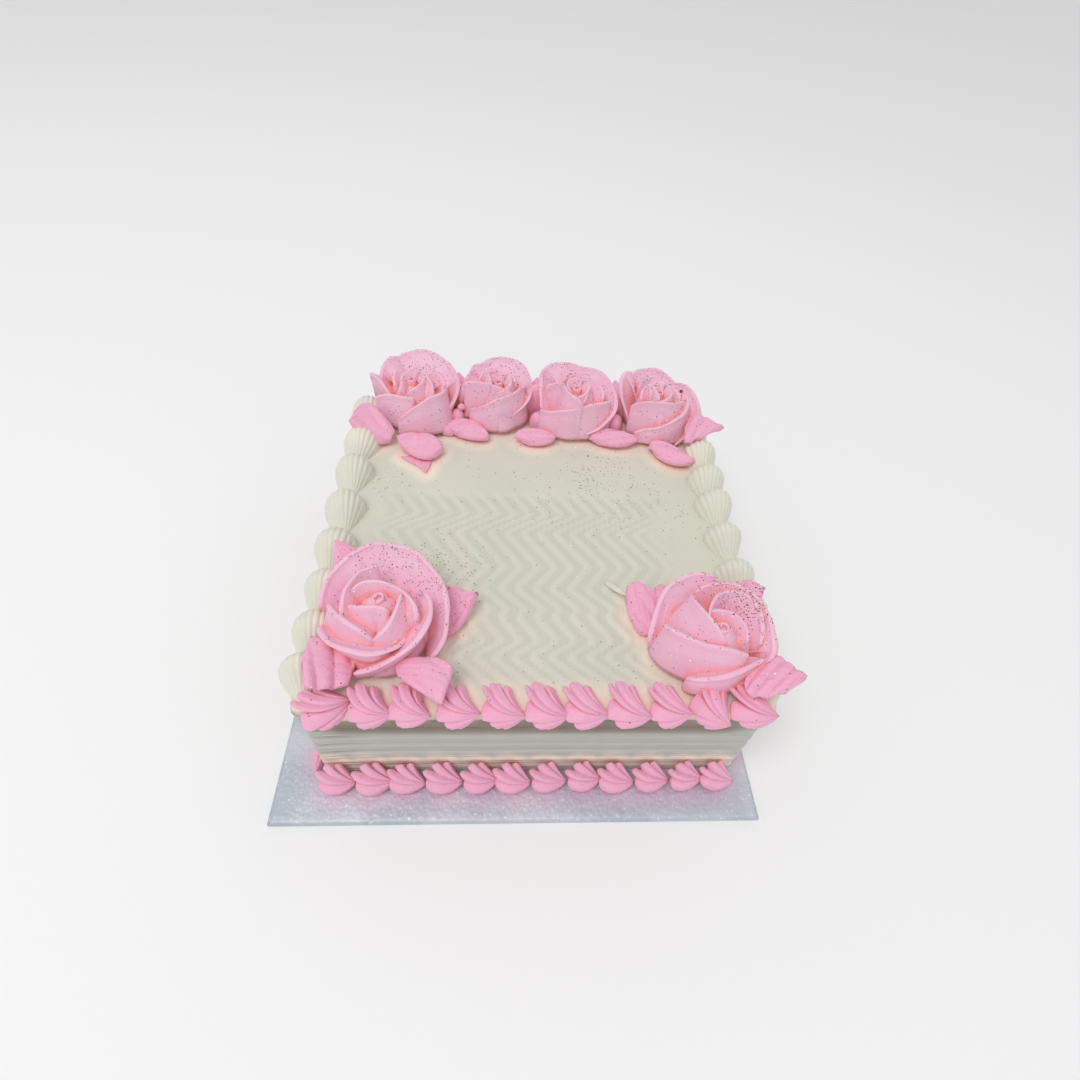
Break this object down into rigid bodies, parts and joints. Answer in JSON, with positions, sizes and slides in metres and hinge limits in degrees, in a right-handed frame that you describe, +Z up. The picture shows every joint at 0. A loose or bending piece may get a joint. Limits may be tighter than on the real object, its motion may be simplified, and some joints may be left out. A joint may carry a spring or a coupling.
{
  "type": "square cake",
  "caption": "Square buttercream cake on a foil board, with combed sides and top, piped shell borders, and buttercream roses with leaves.",
  "frame": {"origin": "on the underside of the board, straight below the middle of the cake", "axes": "+X to the cake's right as seen from its front, +Y to its back, +Z up"},
  "size_m": [0.2611, 0.262, 0.1116],
  "materials": {
    "board_foil": "silver embossed foil over card, softly crumpled",
    "ivory_cream": "soft ivory buttercream, combed, with a light satin sheen",
    "pink_cream": "soft pink buttercream, piped, with a light satin sheen"
  },
  "bodies": {
    "root": {"board": "board_foil", "cake_body": "ivory_cream", "rose_front_left": "pink_cream", "rose_front_right": "pink_cream", "rose_back_1": "pink_cream", "rose_back_2": "pink_cream", "rose_back_3": "pink_cream", "rose_back_4": "pink_cream", "border_top_front": "pink_cream", "border_top_back": "pink_cream", "border_top_left": "ivory_cream", "border_top_right": "ivory_cream", "border_base_front": "pink_cream", "border_base_right": "pink_cream", "border_base_back": "pink_cream", "border_base_left": "pink_cream", "leaf_front_left_a": "pink_cream", "leaf_front_left_b": "pink_cream", "leaf_front_left_c": "pink_cream", "leaf_front_left_d": "pink_cream", "leaf_front_right_e": "pink_cream", "leaf_front_right_f": "pink_cream", "leaf_front_right_g": "pink_cream", "leaf_back_h": "pink_cream", "leaf_back_i": "pink_cream", "leaf_back_k": "pink_cream", "leaf_back_l": "pink_cream", "leaf_back_m": "pink_cream", "leaf_back_n": "pink_cream", "leaf_back_o": "pink_cream", "leaf_back_p": "pink_cream", "leaf_back_q": "pink_cream", "leaf_back_r": "pink_cream"}
  },
  "joints": []
}
